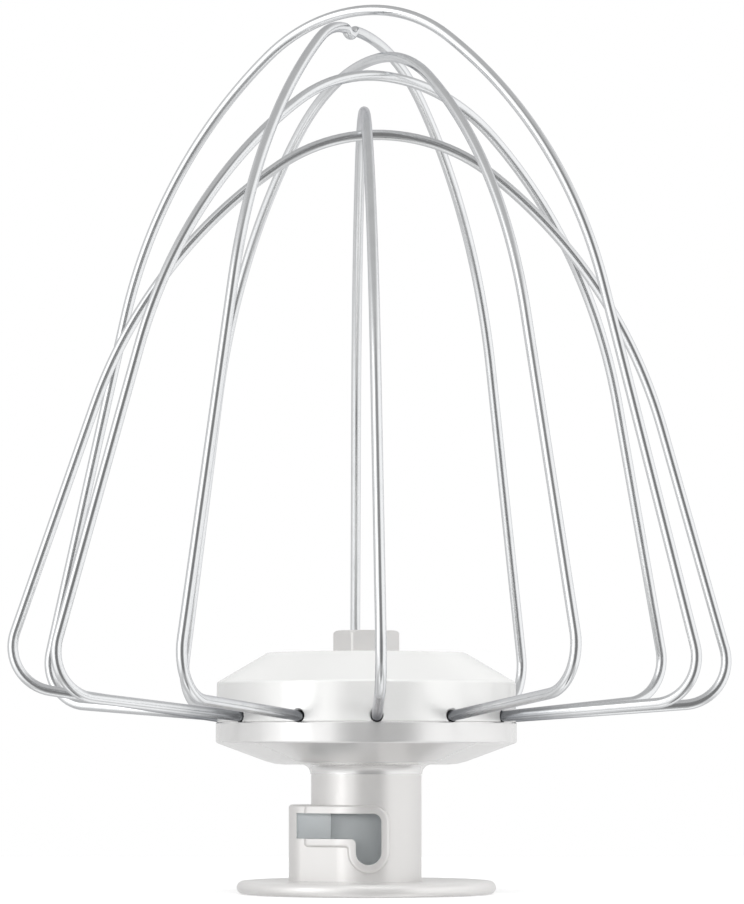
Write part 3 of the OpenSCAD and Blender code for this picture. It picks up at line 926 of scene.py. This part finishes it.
def make_floor():
    """A dull white floor; mirror rays and views from below pass through it."""
    m = bpy.data.materials.new("floor")
    m.use_nodes = True
    t = m.node_tree
    bsdf = t.nodes["Principled BSDF"]
    bsdf.inputs["Base Color"].default_value = (*colours().floor, 1)
    bsdf.inputs["Roughness"].default_value = 0.9
    bsdf.inputs["Specular IOR Level"].default_value = 0.0
    bsdf.inputs["Emission Color"].default_value = (1, 1, 1, 1)
    seen = node(t, "ShaderNodeLightPath", -600, 300)
    glow = node(t, "ShaderNodeMath", -200, 300, operation="MULTIPLY")
    glow.inputs[1].default_value = FLOOR_GLOW
    link(t, seen.outputs["Is Camera Ray"], glow.inputs[0])
    link(t, glow.outputs[0], bsdf.inputs["Emission Strength"])
    facing = node(t, "ShaderNodeNewGeometry", -200, 600)
    passed = node(t, "ShaderNodeMath", 100, 700, operation="MAXIMUM")
    clear = node(t, "ShaderNodeBsdfTransparent", 100, 500)
    either = node(t, "ShaderNodeMixShader", 400, 400)
    link(t, facing.outputs["Backfacing"], passed.inputs[0])
    link(t, seen.outputs["Is Glossy Ray"], passed.inputs[1])
    link(t, passed.outputs[0], either.inputs[0])
    link(t, bsdf.outputs[0], either.inputs[1])
    link(t, clear.outputs[0], either.inputs[2])
    link(t, either.outputs[0], t.nodes["Material Output"].inputs["Surface"])
    bm = bmesh.new()
    bmesh.ops.create_grid(bm, x_segments=1, y_segments=1, size=FLOOR_HALF)
    bmesh.ops.translate(bm, verts=bm.verts, vec=(0, 0, -FLOOR_DROP))
    made_of(bm, "floor", m)


def ramp(tree, stops, low, high, x, y):
    """A ramp of greys over low..high; stops hold (position, brightness)."""
    made = node(tree, "ShaderNodeValToRGB", x, y)
    line = made.color_ramp
    while len(line.elements) > 1:
        line.elements.remove(line.elements[-1])
    for i, (place, value) in enumerate(stops):
        t = (place - low) / (high - low)
        stop = line.elements[0] if i == 0 else line.elements.new(t)
        stop.position = t
        stop.color = (value, value, value, 1)
    return made


def make_world(scene):
    """The studio round the object: walls and greys to mirror, and white for the camera."""
    world = bpy.data.worlds.new("studio")
    scene.world = world
    world.use_nodes = True
    t = world.node_tree
    t.nodes.clear()
    coords = node(t, "ShaderNodeTexCoord", -900)
    parts = node(t, "ShaderNodeSeparateXYZ", -700)
    flip = node(t, "ShaderNodeMath", -500, 100, operation="MULTIPLY")
    flip.inputs[1].default_value = -1
    azimuth = node(t, "ShaderNodeMath", -300, 100, operation="ARCTAN2")
    round_share = node(t, "ShaderNodeMapRange", -100, 100)
    round_share.inputs["From Min"].default_value = -pi
    round_share.inputs["From Max"].default_value = pi
    height_share = node(t, "ShaderNodeMapRange", -100, -200)
    height_share.inputs["From Min"].default_value = -1
    height_share.inputs["From Max"].default_value = 1
    walls = ramp(t, STUDIO_WALLS, low=-180, high=180, x=100, y=100)
    grey = ramp(t, STUDIO_GREY, low=-1, high=1, x=100, y=-200)
    studio = node(t, "ShaderNodeMix", 400, 0)
    studio.inputs["B"].default_value = GREY_LEVEL
    seen = node(t, "ShaderNodeLightPath", 300, 300)
    with_white = node(t, "ShaderNodeMix", 550, 0)
    with_white.inputs["B"].default_value = WHITE_LEVEL
    dimming = node(t, "ShaderNodeMath", 450, 300, operation="MULTIPLY_ADD")
    dimming.inputs[1].default_value = DIFFUSE_SHARE - 1
    dimming.inputs[2].default_value = 1
    strength = node(t, "ShaderNodeMath", 620, -100, operation="MULTIPLY")
    back = node(t, "ShaderNodeBackground", 700)
    back.inputs["Color"].default_value = (1, 1, 1, 1)
    out = node(t, "ShaderNodeOutputWorld", 900)
    for a, b in (
        (coords.outputs["Generated"], parts.inputs[0]),
        (parts.outputs["Y"], flip.inputs[0]),
        (parts.outputs["X"], azimuth.inputs[0]),
        (flip.outputs[0], azimuth.inputs[1]),
        (azimuth.outputs[0], round_share.inputs[0]),
        (parts.outputs["Z"], height_share.inputs[0]),
        (round_share.outputs[0], walls.inputs[0]),
        (height_share.outputs[0], grey.inputs[0]),
        (walls.outputs[0], studio.inputs["A"]),
        (grey.outputs[0], studio.inputs["Factor"]),
        (seen.outputs["Is Camera Ray"], with_white.inputs["Factor"]),
        (studio.outputs[0], with_white.inputs["A"]),
        (seen.outputs["Is Diffuse Ray"], dimming.inputs[0]),
        (with_white.outputs[0], strength.inputs[0]),
        (dimming.outputs[0], strength.inputs[1]),
        (strength.outputs[0], back.inputs["Strength"]),
        (back.outputs[0], out.inputs[0]),
    ):
        link(t, a, b)


def make_lamps():
    """Three soft boxes: only the key is mirrored, the top and the fill just light."""
    for name, place, target, size, power, mirrored in LAMPS:
        data = bpy.data.lights.new(name, "AREA")
        data.shape = "RECTANGLE"
        data.size, data.size_y = size
        data.energy = power
        lamp = bpy.data.objects.new(name, data)
        lamp.location = place
        lamp.rotation_euler = (Vector(target) - Vector(place)).to_track_quat("-Z", "Y").to_euler()
        lamp.visible_glossy = mirrored
        bpy.context.collection.objects.link(lamp)


def make_camera(scene):
    """The camera, level with the hub and tilted up a little."""
    stage = scene.whip_stage
    data = bpy.data.cameras.new("camera")
    data.lens = stage.lens
    data.sensor_width = SENSOR_WIDTH
    data.clip_start, data.clip_end = CLIP_NEAR, CLIP_FAR
    camera = bpy.data.objects.new("camera", data)
    camera.location = (stage.aside, -stage.distance, stage.height)
    camera.rotation_euler = (pi / 2 + stage.tilt, 0, 0)
    scene.collection.objects.link(camera)
    scene.camera = camera


# ---------------------------------------------------------------- operators

class WHIP_OT_stage(bpy.types.Operator):
    """Sets up the floor, the world, the lamps and the camera"""
    bl_idname = "whip.stage"
    bl_label = "Stage"

    def execute(self, context):
        make_floor()
        make_world(context.scene)
        make_lamps()
        make_camera(context.scene)
        context.scene.view_settings.view_transform = "Standard"
        return {"FINISHED"}


class WHIP_OT_wires(bpy.types.Operator):
    """Builds the wire hoops of the cage"""
    bl_idname = "whip.wires"
    bl_label = "Wire hoops"

    def execute(self, context):
        sizes = context.scene.whip_wires
        for index in range(len(HOOPS)):
            wire = swept(Hoop(sizes, index).path(), sizes.wire_d / 2, sizes.sides)
            hoop = solid(wire, f"hoop_{index + 1}", wire_steel())
            stands_for(hoop, f"wire_loop_{index + 1}", sharp=50)
        return {"FINISHED"}


class WHIP_OT_sleeve(bpy.types.Operator):
    """Builds the drive sleeve with its bayonet slot and the drip flange"""
    bl_idname = "whip.sleeve"
    bl_label = "Sleeve and flange"

    def execute(self, context):
        make_sleeve(context.scene.whip_hub)
        make_flange(context.scene.whip_hub)
        return {"FINISHED"}


class WHIP_OT_hub(bpy.types.Operator):
    """Builds the hub's base, cap and nut, and gives the clamp inside it its steel"""
    bl_idname = "whip.hub"
    bl_label = "Hub"

    def execute(self, context):
        hub, sizes = context.scene.whip_hub, context.scene.whip_wires
        make_base(hub, sizes)
        make_cap(hub, sizes)
        make_nut(hub)
        dress_clamp()
        return {"FINISHED"}


class WHIP_PT_panel(bpy.types.Panel):
    """Lists the operators in the sidebar"""
    bl_idname = "WHIP_PT_panel"
    bl_label = "Wire Whip"
    bl_space_type = "VIEW_3D"
    bl_region_type = "UI"
    bl_category = "Wire Whip"

    def draw(self, context):
        for operator in OPERATORS:
            self.layout.operator(operator.bl_idname)


# ---------------------------------------------------------------- registration

GROUPS = {
    "whip_wires": WhipWireSizes,
    "whip_hub": WhipHubSizes,
    "whip_sleeve": WhipSleeveSizes,
    "whip_colours": WhipColours,
    "whip_stage": WhipStageSizes,
}
OPERATORS = (WHIP_OT_stage, WHIP_OT_wires, WHIP_OT_sleeve, WHIP_OT_hub)


def register():
    """Registers the classes and adds the groups to the scene."""
    for cls in (*GROUPS.values(), *OPERATORS, WHIP_PT_panel):
        bpy.utils.register_class(cls)
    for name, group in GROUPS.items():
        setattr(bpy.types.Scene, name, PointerProperty(type=group))


def unregister():
    """Takes the groups and the classes away again."""
    for name in GROUPS:
        delattr(bpy.types.Scene, name)
    for cls in (WHIP_PT_panel, *OPERATORS, *GROUPS.values()):
        bpy.utils.unregister_class(cls)


def main():
    """Builds the whip and its stage."""
    register()
    for operator in OPERATORS:
        group, name = operator.bl_idname.split(".")
        getattr(getattr(bpy.ops, group), name)()


if __name__ == "__main__":
    main()
